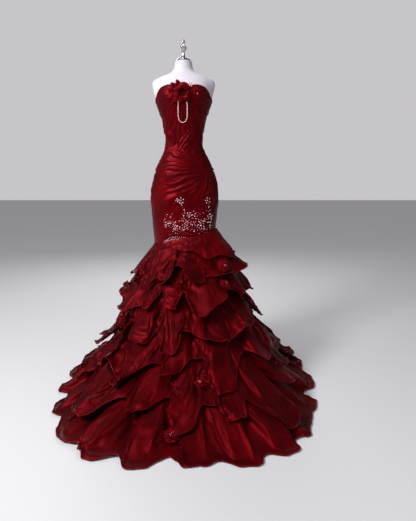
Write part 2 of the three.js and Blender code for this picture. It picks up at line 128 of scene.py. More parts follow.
print("camera")
cameraView = {"place": (0.137, -2.58, 1.184), "down": 10, "lens": 30.0, "sensor": 36}
camera = addObject("camera", bpy.data.cameras.new("camera"))
camera.location = cameraView["place"]
camera.rotation_euler = (radians(90 - cameraView["down"]), 0, 0)
camera.data.lens = cameraView["lens"]
camera.data.sensor_width = cameraView["sensor"]
bpy.context.scene.camera = camera
bpy.context.scene.view_settings.view_transform = "Standard"

# the gown's own shape, in millimetres: level, then half width, front, back, climb, fill, shift
gownShape = [
    (1730, 157, 98, 84, 0, 0, 0), (1690, 162, 109, 90, 0, 0, 0), (1655, 160, 114, 93, 0, 0, 0),
    (1620, 150, 112, 95, 0, 0, 0), (1585, 135, 103, 94, 0, 0, 0), (1545, 119, 93, 90, 0, 0, 0),
    (1500, 109, 85, 85, 0, 0, 0), (1455, 103, 80, 81, 0, 0, 0), (1410, 101, 78, 80, 0, 0, 0),
    (1370, 110, 83, 87, 0, 0, 0), (1332, 130, 91, 99, 0, 0, 0), (1298, 147, 97, 110, 0, 0, 0),
    (1264, 162, 102, 120, 0, 0, 0), (1225, 174, 106, 128, 0, 0, 0), (1180, 184, 110, 134, 0, 0, 0),
    (1130, 190, 114, 138, 0, 0, 0), (1060, 192, 118, 139, 12, 0, 0), (980, 189, 121, 138, 28, 0, 0),
    (880, 181, 125, 136, 42, 0, 0), (790, 208, 162, 168, 40, 0, 0), (677, 246, 216, 218, 34, 0.01, 0),
    (497, 306, 314, 318, 24, 0.03, 2), (300, 380, 440, 452, 12, 0.05, 6),
    (150, 468, 576, 598, 5, 0.08, 12), (60, 556, 690, 716, 0, 0.1, 16), (0, 630, 792, 832, 0, 0.1, 21),
]
shellAt = smoothTable(gownShape, 2.0)
seams = {"waist": 1370, "skirt": 880, "cloth": 2.0, "sunk": 0.6}
# the neckline's level by the angle from the front, in degrees
necklineAt = smoothTable([
    (0, 1698), (14, 1708), (28, 1717), (45, 1709), (58, 1688), (70, 1662), (90, 1650), (120, 1646),
    (180, 1638),
], 1.0)
cup = {"angle": 29, "z": 1662, "out": 13, "width": 17, "height": 40}


def shellPoint(angle, level, out):
    side, front, back, climb, fill, shift = shellAt(level)
    turn = cos(angle)
    depth = front if turn > 0 else back
    fuller = 1 + fill * sin(2 * angle) ** 2 * (1 + 0.8 * cos(2 * angle))
    across = sin(angle)
    return Vector((
        (side + out) * fuller * across + shift,
        -(depth + out) * fuller * turn,
        level + climb * across,
    ))


def bodyPoint(angle, level, out):
    turned = degrees(abs(wrapped(angle)))
    bust = cup["out"] * exp(
        -((turned - cup["angle"]) / cup["width"]) ** 2 - ((level - cup["z"]) / cup["height"]) ** 2)
    return shellPoint(angle, level, out + bust)


def material(name):
    made = bpy.data.materials.new(name)
    made.use_nodes = True
    tree = made.node_tree
    tree.nodes.clear()
    return made, tree


def addNode(tree, kind, settings=None, **links):
    # a node, its settings, its constant inputs, and what is linked into it
    node = tree.nodes.new("ShaderNode" + kind)
    for key, value in (settings or {}).items():
        if hasattr(node, key):
            setattr(node, key, value)
        else:
            node.inputs[key].default_value = value
    for key, source in links.items():
        tree.links.new(source, node.inputs[key.replace("_", " ")])
    return node


def clothMaterial(name, look):
    # woven cloth: uneven dye, crosswise slubs, creases and weave, all measured in metres of cloth by its UV
    made, tree = material(name)
    coords = addNode(tree, "TexCoord")
    slubMap = addNode(tree, "Mapping", {"Scale": (look["slubAlong"], look["slubAcross"], 1)},
                      Vector=coords.outputs["UV"])
    slubs = addNode(tree, "TexNoise", {"Scale": 1.0, "Detail": 3.0, "Roughness": 0.55},
                    Vector=slubMap.outputs["Vector"])
    dye = addNode(tree, "TexNoise", {"Scale": look["dyeScale"], "Detail": 2.0},
                  Vector=coords.outputs["Object"])
    shade = addNode(tree, "ValToRGB", Fac=dye.outputs["Fac"])
    shade.color_ramp.elements[0].position = 0.32
    shade.color_ramp.elements[1].position = 0.68
    shade.color_ramp.elements[0].color = linear(look["dark"])
    shade.color_ramp.elements[1].color = linear(look["light"])
    slubShade = addNode(tree, "Mix", {"data_type": "RGBA", "blend_type": "MULTIPLY"})
    slubShade.inputs[0].default_value = look["slubShade"]
    tree.links.new(shade.outputs["Color"], slubShade.inputs[6])
    tree.links.new(slubs.outputs["Color"], slubShade.inputs[7])
    creaseMap = addNode(tree, "Mapping", {"Scale": look["creaseStretch"]},
                        Vector=coords.outputs["UV"])
    creases = addNode(tree, "TexNoise", {
        "noise_type": "RIDGED_MULTIFRACTAL", "normalize": True, "Scale": look["creaseScale"], "Detail": 3.0,
        "Roughness": 0.5, "Distortion": 0.5}, Vector=creaseMap.outputs["Vector"])
    weave = addNode(tree, "TexWave", {"Scale": look["weaveScale"], "Distortion": 0.4},
                    Vector=coords.outputs["UV"])
    creaseBump = addNode(tree, "Bump", {
        "Strength": look["creaseBump"], "Distance": look["creaseDeep"]}, Height=creases.outputs["Fac"])
    slubBump = addNode(tree, "Bump", {"Strength": look["slubBump"], "Distance": 0.001},
                       Height=slubs.outputs["Fac"], Normal=creaseBump.outputs["Normal"])
    weaveBump = addNode(tree, "Bump", {"Strength": look["weaveBump"], "Distance": 0.0004},
                        Height=weave.outputs["Fac"], Normal=slubBump.outputs["Normal"])
    shader = addNode(tree, "BsdfPrincipled", {
        "Roughness": look["roughness"], "Specular IOR Level": look["specular"], "IOR": 1.5,
        "Specular Tint": linear(look["glossTint"]), "Sheen Weight": look["sheen"], "Sheen Roughness": 0.4,
        "Sheen Tint": linear(look["sheenTint"]),
    }, Normal=weaveBump.outputs["Normal"])
    tree.links.new(slubShade.outputs[2], shader.inputs["Base Color"])
    addNode(tree, "OutputMaterial", Surface=shader.outputs["BSDF"])
    return made


# silk taffeta, yarn dyed and tightly woven: a crisp red sheen on every crest, and slubs across it
taffetaLook = {
    "light": "#560207", "dark": "#340105", "dyeScale": 7.0, "slubAlong": 120.0, "slubAcross": 900.0,
    "slubShade": 0.14, "slubBump": 0.15, "creaseStretch": (1.0, 1.5, 1.0), "creaseScale": 17.0,
    "creaseBump": 0.3, "creaseDeep": 0.006, "weaveScale": 330.0, "weaveBump": 0.1, "roughness": 0.4,
    "specular": 0.6, "glossTint": "#ee2034", "sheen": 0.1, "sheenTint": "#b0101e",
}
# organza over taffeta: the same dye drawn darker all over, thinner and drier, and its creases longer
organzaLook = dict(taffetaLook, light="#480206", dark="#270103", creaseStretch=(1.2, 0.8, 1.0),
                   creaseScale=13.0, creaseDeep=0.007, roughness=0.45, specular=0.5, sheen=0.12)
# acetate lining: flat and dull, and nearly black where the skirt shades it
liningLook = dict(taffetaLook, light="#1c0206", dark="#120104", creaseBump=0.2, roughness=0.6,
                  specular=0.3, sheen=0.05)
# rolled edges and rose petals: the taffeta turned over, drawn lighter than the gown's own taffeta as a painted
# highlight
highlightLook = dict(taffetaLook, light="#64040b", dark="#400207", creaseBump=0.25, roughness=0.42, sheen=0.06)
taffeta = clothMaterial("silk taffeta", taffetaLook)
organza = clothMaterial("organza over taffeta", organzaLook)
lining = clothMaterial("acetate lining", liningLook)
highlightTaffeta = clothMaterial("taffeta with painted highlight", highlightLook)


def jerseyMaterial():
    # cotton jersey over a padded form: matt, its rows of loops drawn 4 mm apart so that they show
    made, tree = material("cotton jersey")
    coords = addNode(tree, "TexCoord")
    tone = addNode(tree, "TexNoise", {"Scale": 6.0, "Detail": 2.0}, Vector=coords.outputs["Object"])
    shade = addNode(tree, "ValToRGB", Fac=tone.outputs["Fac"])
    shade.color_ramp.elements[0].color = linear("#c3bdc9")
    shade.color_ramp.elements[1].color = linear("#d2ccd7")
    ribs = addNode(tree, "TexWave", {"Scale": 80.0, "Distortion": 0.6, "bands_direction": "Z"},
                   Vector=coords.outputs["Object"])
    bump = addNode(tree, "Bump", {"Strength": 0.06, "Distance": 0.0005}, Height=ribs.outputs["Fac"])
    shader = addNode(tree, "BsdfPrincipled", {"Roughness": 0.75, "Sheen Weight": 0.2, "IOR": 1.5},
                     Base_Color=shade.outputs["Color"], Normal=bump.outputs["Normal"])
    addNode(tree, "OutputMaterial", Surface=shader.outputs["BSDF"])
    return made


def metalMaterial(name, colour, roughness, metallic, scratch):
    # turned or cast metal: fine rings left by the tool, and roughness that wanders with handling
    made, tree = material(name)
    coords = addNode(tree, "TexCoord")
    wear = addNode(tree, "TexNoise", {"Scale": 60.0, "Detail": 3.0},
                   Vector=coords.outputs["Object"])
    span = addNode(tree, "MapRange", {"To Min": roughness * 0.8, "To Max": roughness * 1.3},
                   Value=wear.outputs["Fac"])
    rings = addNode(tree, "TexWave", {"Scale": 400.0, "Distortion": 0.2, "bands_direction": "Z"},
                    Vector=coords.outputs["Object"])
    bump = addNode(tree, "Bump", {"Strength": scratch, "Distance": 0.0002},
                   Height=rings.outputs["Fac"])
    shader = addNode(tree, "BsdfPrincipled", {"Base Color": linear(colour), "Metallic": metallic},
                     Roughness=span.outputs["Result"], Normal=bump.outputs["Normal"])
    addNode(tree, "OutputMaterial", Surface=shader.outputs["BSDF"])
    return made


def beadMaterial(name, light, dark, transmission):
    # pressed and cut glass: its own colour, painted lighter and darker in patches as a painted highlight beside painted
    # shade on its facets
    made, tree = material(name)
    coords = addNode(tree, "TexCoord")
    glintCells = addNode(tree, "TexVoronoi", {"Scale": 160.0}, Vector=coords.outputs["Object"])
    # dark end painted shade, light end painted highlight, both tinted with the glass's own colour
    shade = addNode(tree, "ValToRGB", Fac=glintCells.outputs["Color"])
    shade.color_ramp.elements[0].color = linear(dark)
    shade.color_ramp.elements[1].color = linear(light)
    shader = addNode(tree, "BsdfPrincipled", {
        "Roughness": 0.08, "IOR": 1.62, "Coat Weight": 0.6, "Coat Roughness": 0.03,
        "Transmission Weight": transmission}, Base_Color=shade.outputs["Color"])
    addNode(tree, "OutputMaterial", Surface=shader.outputs["BSDF"])
    return made


jersey = jerseyMaterial()
polished = metalMaterial("polished nickel", "#cfc9cc", 0.2, 1.0, 0.15)
blackSteel = metalMaterial("satin black steel", "#1b1b1d", 0.42, 0.0, 0.1)
zipLacquer = metalMaterial("lacquered zip metal", "#6a0c18", 0.3, 0.6, 0.1)
clearGlass = beadMaterial("cut glass beads", "#fffafc", "#c9a2ae", 0.12)
pearlGlass = beadMaterial("pink pressed glass", "#ffa3b4", "#c4405c", 0.05)


def piece(name, bm, finish, nodes=(), flat=False):
    made = plainObject(name, bm)
    made.data.materials.append(finish)
    for polygon in made.data.polygons:
        polygon.use_smooth = not flat
    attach(made, "gown")
    if nodes:
        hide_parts(*nodes)
    return made


def clothGrid(columns, rows, place, wide, long, closed=False):
    # a grid of cloth laid by place(across, down), with its UV in metres of cloth
    bm = bmesh.new()
    bmesh.ops.create_grid(bm, x_segments=columns, y_segments=rows, size=0.5)
    uv = bm.loops.layers.uv.new("cloth")
    spots = {}
    for vert in bm.verts:
        spots[vert] = (vert.co.x + 0.5, 0.5 - vert.co.y)
    for face in bm.faces:
        for loop in face.loops:
            across, down = spots[loop.vert]
            loop[uv].uv = (across * wide, -down * long)
    for vert, (across, down) in spots.items():
        vert.co = place(across, down) * mm
    if closed:
        bmesh.ops.remove_doubles(bm, verts=bm.verts, dist=0.00002)
    return bm


def thicken(made, thick):
    wall = made.modifiers.new("wall", "SOLIDIFY")
    wall.thickness = thick * mm
    wall.offset = -1
    wall.use_even_offset = False
    wall.use_rim = True


print("bead strand")
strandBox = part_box("bead_strand")
strand = {
    # the left half of the loop: across, then down from its top; each bead's outline: along, then how wide
    "diameter": 5.0, "sides": 8, "bead": 5.2, "samples": 120,
    "half": [(-22.8, 0), (-24.0, 12), (-24.6, 30), (-24.8, 50), (-24.6, 68), (-23.6, 80), (-20.0, 93),
             (-12.0, 103), (0, 107)],
    "outline": [(0.0, 0.25), (0.12, 0.72), (0.32, 1.0), (0.68, 1.0), (0.88, 0.72)],
}


def catmull(points, steps):
    found = []
    last = len(points) - 1
    for i in range(last):
        a, b = points[max(i - 1, 0)], points[i]
        c, d = points[i + 1], points[min(i + 2, last)]
        for k in range(steps):
            found.append(spline(a, b, c, d, k / steps))
    found.append(points[-1].copy())
    return found


def beadStrand():
    top = strandBox[1][2] / mm
    y = (strandBox[0][1] + strandBox[1][1]) / 2 / mm
    left = [Vector((x, y, top - down)) for x, down in strand["half"]]
    route = left + [Vector((-p.x, p.y, p.z)) for p in reversed(left[:-1])]
    path = catmull(route, 12)
    lengths = [0.0]
    for a, b in zip(path, path[1:]):
        lengths.append(lengths[-1] + (b - a).length)
    total = lengths[-1]

    def at(distance):
        distance = min(max(distance, 0.0), total)
        i = 0
        while i < len(lengths) - 2 and lengths[i + 1] < distance:
            i += 1
        share = (distance - lengths[i]) / (lengths[i + 1] - lengths[i])
        return path[i].lerp(path[i + 1], share), (path[i + 1] - path[i]).normalized()

    count = round(total / strand["bead"])
    rings = [(i + along, wide) for i in range(count) for along, wide in strand["outline"]]
    rings.append((count, strand["outline"][0][1]))
    bm = bmesh.new()
    bmesh.ops.create_cone(bm, cap_ends=False, segments=strand["sides"], radius1=0.5, radius2=0.5, depth=1)
    bmesh.ops.delete(bm, geom=[v for v in bm.verts if v.co.z > 0], context="VERTS")
    steps = [list(bm.edges)]
    for _ in rings[1:]:
        made = bmesh.ops.extrude_edge_only(bm, edges=steps[-1])["geom"]
        steps.append([g for g in made if isinstance(g, bmesh.types.BMEdge) and all(
            v not in {w for e in steps[-1] for w in e.verts} for v in g.verts)])
    for (along, wide), edges in zip(rings, steps):
        spot, forward = at(along * total / count)
        sideways = Vector((0, 1, 0))
        up = forward.cross(sideways).normalized()
        for vert in {v for e in edges for v in e.verts}:
            turn = atan2(vert.co.y, vert.co.x)
            reach = wide * strand["diameter"] / 2
            vert.co = spot + (sideways * cos(turn) + up * sin(turn)) * reach
    bmesh.ops.holes_fill(bm, edges=bm.edges, sides=strand["sides"])
    bmesh.ops.scale(bm, vec=(mm, mm, mm), verts=bm.verts)
    bmesh.ops.recalc_face_normals(bm, faces=bm.faces)
    made = piece("beadStrand", bm, clearGlass, ["bead_strand"], flat=True)
    samples = strand["samples"]
    centre = [list(at(total * i / samples)[0] * mm) for i in range(samples + 1)]
    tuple(centre[0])


beadStrand()


print("bodice and hips")
bodice = {
    "arch": 34, "ridge": 7.6, "fan": 7.5, "roseZ": 1668, "crossZ": 1431, "crossX": 22, "step": 3.0,
    "thick": 1.2,
    # folds that cross at the waist, three each way: slope, how far up, height
    "bands": [(1.5, 2, 1.7), (1.3, 27, 1.2), (1.3, -28, 1.3),
              (-1.5, 6, 1.45), (-1.3, 34, 1.2), (-1.3, -22, 1.1)],
}
hips = {"climb": 46, "ridge": 8.0, "meetX": 112, "meetZ": 1262, "step": 3.6, "thick": 1.2}


def fold(turn):
    # a gather: broad rounded crest, narrow valley
    return abs(sin(pi * turn)) ** 0.75


def crease(turn, reach, seed, narrow):
    # a single fold: long along its fan, narrow across it, with smooth cloth on both sides
    return max(1 - narrow * abs(noise.noise((turn, reach, seed))), 0.0) ** 1.3


def fanned(x, level, centre, seed, deep):
    # folds that run out in all directions from one point of the gown
    dx, dz = x - centre[0], level - centre[1]
    distance = hypot(dx, dz)
    wander = (0.16 * noise.noise((x * 0.009, level * 0.01, seed))
              + 0.05 * noise.noise((x * 0.03, level * 0.03, seed + 4)))
    turn = bodice["fan"] * (atan2(dz, -dx if centre[0] > 50 else abs(dx)) + wander)
    broad = 1.3 * deep * crease(0.85 * turn, distance * 0.005, seed, 2.9)
    fine = 0.85 * (1.35 - deep) * crease(1.8 * turn, distance * 0.008, seed + 5, 2.7)
    return (max(broad, fine) + 0.2 * fold(0.5 * turn)) * ease((distance - 20) / 50)


def gathers(angle, level):
    # how far the gathers stand out: a fan from the rose, one from the left hip, and bands at the waist
    around = wrapped(angle)
    x = 118 * around
    deep = 0.7 + 0.6 * noise.noise((x * 0.012 + 4, level * 0.014, 1.3))
    fromHip = ease((1412 - level) / 70)
    relief = 0.0
    if fromHip < 1:
        relief += (1 - fromHip) * fanned(x, level, (0, bodice["roseZ"]), 3.1, deep)
    if fromHip > 0:
        relief += fromHip * fanned(x, level, (hips["meetX"], hips["meetZ"]), 8.4, deep)
    relief *= lerp(0.1, 1.0, ease((level - 985) / 150)) * lerp(1.0, 0.5, ease((level - 1570) / 60))
    reach = exp(-((level - bodice["crossZ"]) / 62) ** 2) * exp(-((x - bodice["crossX"]) / 90) ** 2)
    if reach > 0.03:
        bend = 12 * sin((x - bodice["crossX"]) / 55)
        for slope, away, high in bodice["bands"]:
            off = (level - bodice["crossZ"] - away) - slope * (x - bodice["crossX"]) + bend
            relief = max(relief, high * reach * exp(-(off / hypot(1, slope) / 8) ** 2))
    # the zip holds the cloth flat
    flat = 1 - 0.9 * exp(-((pi - abs(around)) / 0.09) ** 2)
    return max(relief, 0.0) * flat


def bodicePlace(angle, share):
    top = necklineAt(degrees(abs(wrapped(angle))))[0]
    level = lerp(top, seams["waist"], share) + bodice["arch"] * cos(angle) ** 2 * sin(pi * share)
    deep = bodice["ridge"] * gathers(angle, level) * ease(share / 0.03)
    return bodyPoint(angle, level, seams["cloth"] - seams["sunk"] + deep)


def hipPlace(angle, share):
    rise = hips["climb"] * sin(angle) * sin(pi * share)
    level = lerp(seams["waist"] + 5, seams["skirt"], share) + rise
    deep = hips["ridge"] * gathers(angle, level)
    # it laps over the waist seam
    lap = 0.5 * ease((level - seams["waist"] + 6) / 6)
    return bodyPoint(angle, level, seams["cloth"] - seams["sunk"] + deep + lap)


def bodyPanels():
    # each part's length and girth are in metres; each panel's sides in degrees
    parts = [("bodice", bodicePlace, 0.33, 0.72, bodice), ("hip", hipPlace, 0.49, 1.06, hips)]
    for part, place, long, wide, sizes in parts:
        for side, start, stop in (("front", -90, 90), ("back_left", 90, 180), ("back_right", 180, 270)):
            share = (stop - start) / 360
            columns = round(1000 * wide * share / sizes["step"])
            rows = round(1000 * long / sizes["step"])
            low, high = radians(start), radians(stop)
            bm = clothGrid(columns, rows, lambda u, v: place(lerp(low, high, u), v), wide * share, long)
            panel = piece(f"{part}_{side}_gathered", bm, taffeta, [f"{part}_{side}"])
            thicken(panel, sizes["thick"])


print("form")


def addTorso():
    # the solid's own surface, its facets smoothed
    bm = bmesh.new()
    bm.from_mesh(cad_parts["form_torso"].data)
    bmesh.ops.remove_doubles(bm, verts=bm.verts, dist=0.00001)
    bmesh.ops.dissolve_limit(bm, angle_limit=0.0005, verts=bm.verts, edges=bm.edges)
    bmesh.ops.join_triangles(bm, faces=[f for f in bm.faces if len(f.verts) == 3], angle_face_threshold=0.7,
                             angle_shape_threshold=0.7)
    for vert in bm.verts:
        # it is drawn in a little where the gown covers it
        top = necklineAt(degrees(abs(atan2(vert.co.x, -vert.co.y))))[0] * mm
        vert.co -= vert.normal * 0.0032 * ease((top - 0.004 - vert.co.z) / 0.03)
    made = piece("formTorso", bm, jersey, ["form_torso"])
    smooth = made.modifiers.new("smooth", "SUBSURF")
    smooth.levels = 2
    smooth.render_levels = 2


addTorso()


def spun(name, profile, lift, finish, nodes, steps=96, shape=None):
    bm = bmesh.new()
    verts = [bm.verts.new((r * mm, 0, (z + lift) * mm)) for r, z in profile]
    edges = [bm.edges.new(pair) for pair in zip(verts, verts[1:])]
    bmesh.ops.spin(bm, geom=verts + edges, cent=(0, 0, 0), axis=(0, 0, 1), angle=2 * pi, steps=steps,
                   use_merge=True, use_duplicate=False)
    bmesh.ops.remove_doubles(bm, verts=bm.verts, dist=0.000005)
    if shape:
        for vert in bm.verts:
            vert.co = shape(vert.co)
    bmesh.ops.recalc_face_normals(bm, faces=bm.faces)
    piece(name, bm, finish, nodes)


def rounded(profile, steps):
    # a profile carried on a smooth curve through its points
    points = [Vector((r, z)) for r, z in profile]
    return [(max(p.x, 0.0), p.y) for p in catmull(points, steps)]


neckTop = 1857
plateProfile = [(0, 0.3), (42, 0.3), (42.6, 1.6), (42, 3), (37, 9), (24, 18), (12, 23), (0, 24)]
finialProfile = [
    (0, 24.6), (11.5, 24.6), (11, 28), (8, 34), (7.3, 43), (9.5, 52), (14, 62), (19, 77), (17.2, 77.4),
    (12, 68), (5, 66), (4.6, 90), (8.5, 96), (10, 102), (8.5, 108), (4.6, 113), (3, 117), (0, 118.5),
]


def notched(spot):
    # the cup's rim is cut into eight points
    z = spot.z / mm - neckTop
    reach = hypot(spot.x, spot.y) / mm
    if reach > 11 and 58 < z < 80:
        turn = atan2(spot.y, spot.x)
        cut = 7.0 * ease((z - 60) / 16) * (1 - abs(cos(4 * turn)))
        return Vector((spot.x, spot.y, spot.z - cut * mm))
    return spot


spun("neckPlate", rounded(plateProfile, 4), neckTop, polished, ["form_neck_plate"])
spun("finial", rounded(finialProfile, 5), neckTop, polished, ["form_finial"], shape=notched)
stand = {
    "socket": [(0, 939.7), (23, 939.7), (24, 940.7), (24, 990), (60, 993), (60, 999.7), (0, 999.7)],
    "pole": [(0, 46.3), (16, 46.3), (16, 939.4), (0, 939.4)],
    "basePlate": [
        (0, 0), (173.5, 0), (175, 1.5), (175, 6.5), (173, 8), (54, 16), (34, 22), (26, 46), (0, 46),
    ],
}
for name, node in (("socket", "form_socket"), ("pole", "form_pole"), ("basePlate", "form_base")):
    spun(name, stand[name], 0, blackSteel, [node], 128 if name == "basePlate" else 64)

bodyPanels()

print("underskirt")
underskirt = {
    "wide": 1.3, "long": 1.15, "columns": 64, "rows": 90, "sunk": 0.3, "wave": 0.6, "waves": 14, "thick": 1.2,
}


def underskirtPlace(angle, share):
    wave = underskirt["wave"] * cos(underskirt["waves"] * angle) * share
    level = lerp(seams["skirt"], 0, share)
    return shellPoint(angle, max(level, 0), seams["cloth"] - underskirt["sunk"] + wave)


def underskirtGores():
    columns, rows, wide, long = [underskirt[key] for key in ("columns", "rows", "wide", "long")]
    for quarter, side in enumerate(("front", "left", "back", "right")):
        low, high = radians(90 * quarter - 45), radians(90 * quarter + 45)
        bm = clothGrid(columns, rows, lambda u, v: underskirtPlace(lerp(low, high, u), v), wide, long)
        gore = piece(f"underskirtGore_{side}", bm, lining, [f"underskirt_{side}"])
        thicken(gore, underskirt["thick"])


underskirtGores()

print("flounces")
flounces = [
    # top and hem, how far the hem rises and in how many lobes, flare, then the folds' depth, number and lean
    (862, 645, 80, 4, 98, 22, 9, -1.4), (765, 515, 80, 5, 98, 30, 11, -1.2),
    (630, 375, 90, 6, 102, 34, 13, -1.5), (495, 240, 96, 5, 106, 44, 14, -1.2),
    (360, 92, 120, 7, 104, 50, 19, -1.6), (215, 0, 0, 1, 112, 50, 23, -1.4),
]
flouncing = {
    "pinch": 0.5, "skew": 0.62, "dip": 15, "roll": 2.8, "rollRows": 5, "clear": 3.2, "floor": 1.4,
    "slack": 30, "thick": 0.9, "swell": 1.35, "drawn": 8.5, "valley": 3.6, "narrow": 2.4, "drift": 1.9,
    "tucked": 0.27, "curl": 20, "rays": 7.5, "uneven": 22, "pleat": 22, "crushed": 11, "small": 2.5, "uneasy": (24, 16),
    "flat": 0.62,
    # one value for each flounce
    "fine": (9.5, 9.5, 9.5, 9.5, 11.0, 10.0), "longer": (0, 10, 20, 35, 48, 0),
    "swept": (0.3, 0.34, 0.3, 0.14, 0.0, 0.0), "turned": (2.4, 0.0, 0.0, 0.0, 0.0, 0.0),
}
hanging = {
    "spacing": 17.0, "frames": 14, "gravity": 0.6, "quality": 6, "mass": 0.2, "stretch": 15, "shear": 8,
    "bend": 0.6, "damping": 2, "gap": 3.5, "care": 3, "friction": 8, "pinned": 0.55, "inner": (220, 16),
    "hold": (0.6, 0.65, 0.66, 0.66, 0.64, 0.72),
}
roses = [
    # flounce, angle, share down, radius, height
    (1, 43, 0.80, 40, 24), (2, 40, 0.60, 36, 20), (3, -54, 0.55, 50, 28), (5, -64, 0.55, 42, 24),
    (5, 10, 0.55, 32, 18), (6, -4, 0.50, 42, 22), (6, 51, 0.45, 46, 24), (2, 168, 0.55, 44, 24),
    (4, -142, 0.55, 44, 24),
]


def hemAt(index, angle):
    top, hem, rise, lobes = flounces[index][:4]
    turn = lobes * angle + 2.3 * index + 0.8 * sin(2 * angle)
    return hem + rise * (0.5 + 0.38 * cos(turn) + 0.12 * cos(2 * turn + index))


def flounceSeat(top):
    high, low = shellAt(top), shellAt(top - 10)
    slope = max((low[i] - high[i]) / 10 for i in range(3))
    return seams["cloth"] * hypot(1, slope) + 0.0026 * high[1] + 0.3


def rosePlace(rose):
    index = rose[0] - 1
    angle = radians(rose[1])
    top = flounces[index][0]
    above = hemAt(index - 1, angle) if index > 0 else top
    level = lerp(above, hemAt(index, angle), rose[2])
    return angle, (top - level) / (top - hemAt(index, angle))


def ripple(ring, often, third):
    # noise that closes on itself round the gown
    return noise.noise((ring[0] * often, ring[1] * often, third))


def flouncePlace(index):
    top, hem, rise = flounces[index][:3]
    flare, wave, waves, lean = flounces[index][4:]
    seat = flounceSeat(top) + 1.0
    if index == 0:
        # the first starts at the seam under the hips
        top, seat = seams["skirt"] + 0.5, 3.6
    drop = top - hem
    pins = []
    for rose in roses:
        if rose[0] == index + 1:
            angle, share = rosePlace(rose)
            spot = shellPoint(angle, lerp(top, hem, share), flare)
            pins.append((angle, share, 1.1 * rose[3], hypot(spot.x, spot.y)))

    def place(angle, share, fullness=1.0):
        share = max(share, 0.0)
        foot = hemAt(index, angle)
        # the cloth lies low where the flounce above covers it, then swells out in folds
        cover = min(max((top - hemAt(index - 1, angle)) / (top - foot), 0.2), 0.8) if index else 0.3
        hidden = min(share / cover, 1.0)
        seen = max(share - cover, 0.0) / (1 - cover)
        ring = (cos(angle), sin(angle))
        dense = (ring[0] * waves, ring[1] * waves)
        if index:
            swollen = flouncing["tucked"] * hidden ** 1.1 + (1 - flouncing["tucked"]) * seen ** 0.8
            grown = 0.16 * hidden + 0.84 * ease(seen / 0.7)
        else:
            swollen = share ** flouncing["swell"]
            grown = share ** 1.1
        free = 1.0
        rays = 0.0
        for pinAngle, pinShare, reach, distance in pins:
            dx, dy = wrapped(angle - pinAngle) * distance, (pinShare - share) * drop
            away = hypot(dx, dy) / reach
            if away < 5:
                free *= 1 - exp(-away * away)
                # cloth caught up in a rose runs out from it in folds
                rays += (flouncing["rays"] * exp(-(away / 2.6) ** 2) * (1 - exp(-away ** 4))
                         * cos(7 * atan2(dy, dx) + 2 * away + pinAngle))
        swollen *= 0.35 + 0.65 * free
        grown *= free
        drift = ripple(ring, 1.9, 3.7 * index + 0.9 * share)
        swept = flouncing["swept"][index] * exp(-((wrapped(angle) - 0.05) / 0.75) ** 2)
        phase = (flouncing["turned"][index] + waves * (angle + swept * share) + lean * share
                 + 0.6 * sin(3 * angle + index) + 0.35 * sin(5 * angle + 2 * index)
                 + flouncing["drift"] * drift)
        crest = cos(phase)
        valley = (1 - crest) / 2
        change = 0.5 + 0.1 * index + 0.8 * ripple(ring, 2.6, 2.3 * index + 70)
        even = crest - 0.16 * cos(2 * phase)
        sharp = 1 - flouncing["valley"] * valley ** flouncing["narrow"]
        shaped = lerp(even, sharp, min(max(change, 0.0), 1.0))
        if rise == 0:
            # the lowest flounce spreads on the floor, where its folds flatten
            grown *= 1 - flouncing["flat"] * ease((seen - 0.5) / 0.5)
        uneven = 0.85 + 0.24 * sin(2 * angle + 1.7 * index) + 0.12 * sin(7 * angle + index)
        uneven *= 0.95 + 0.8 * ripple(ring, 3.3, 5.1 * index + 40)
        second = ripple(dense, 0.62, 1.3 * share + 9 * index)
        small = ripple(dense, 1.7, 3.5 * share + 17 * index)
        pleat = ripple(dense, 1.05, 0.5 * share + 23 * index)
        crushed = noise.noise((dense[0] * 1.2 + 3, dense[1] * 1.2, 5.2 * share + 31 * index))
        near = share ** 0.5
        rough = (flouncing["uneven"] * grown * second
                 + flouncing["pleat"] * (0.1 + grown) * near * (0.2 - abs(pleat))
                 + flouncing["crushed"] * (0.25 + grown) * near * (0.16 - abs(crushed))
                 + flouncing["small"] * near * small)
        curl = (flouncing["curl"] * share ** 8 * (0.2 + 1.7 * second)) if rise > 0 else 0.0
        dip = flouncing["dip"] * crest * grown if rise > 0 else 0.0
        uneasy = (flouncing["uneasy"][0] * share * share * ripple(ring, 3.9, 6.6 * index + 90)
                  + flouncing["uneasy"][1] * share ** 3 * second) if rise > 0 else 0.0
        longer = flouncing["longer"][index] * share
        for rose in roses:
            if rose[0] == index + 2:
                longer *= 1 - exp(-(wrapped(angle - radians(rose[1])) / 0.24) ** 2)
        level = max(lerp(top, foot - longer, share) - dip + uneasy, 0.8)
        out = seat + fullness * (flare * swollen + wave * grown * uneven * shaped) + rough + curl + rays
        if index == 0:
            # drawn up towards the wearer's left hip: long folds that rise that way
            x = 230 * wrapped(angle)
            stray = 14 * noise.noise((x * 0.008, level * 0.01, 2.2))
            meet = (level - 905 - 0.06 * x + stray) / (abs(x - 215) + 120)
            behind = ease((pi - abs(wrapped(angle))) / 0.4)
            out += (flouncing["drawn"] * min(share * 3, 1.0) * (fold(7.5 * meet) - 0.45) * (1 - 0.5 * share)
                    * behind)
        skew = flouncing["skew"] * sin(2 * angle + 0.9 + index)
        pinch = flouncing["pinch"] * (1 + 0.9 * ripple(ring, 2.9, 4.4 * index + 11))
        turned = angle + grown / waves * (pinch * sin(2 * phase) + skew * crest)
        return shellPoint(turned, level, max(out, 1.5))

    def held(angle, share):
        # 1 where the cloth is sewn down: at its seam, under the flounce above, and round each rose
        cover = (top - hemAt(index - 1, angle)) / (top - hemAt(index, angle)) if index else 0.25
        sewn = 1 - ease((share - hanging["pinned"] * cover) / (0.35 * cover))
        for pinAngle, pinShare, reach, distance in pins:
            away = hypot(wrapped(angle - pinAngle) * distance, (pinShare - share) * drop) / reach
            sewn = max(sewn, 1 - ease((away - 0.75) / 0.5))
        return sewn

    def support(angle, share):
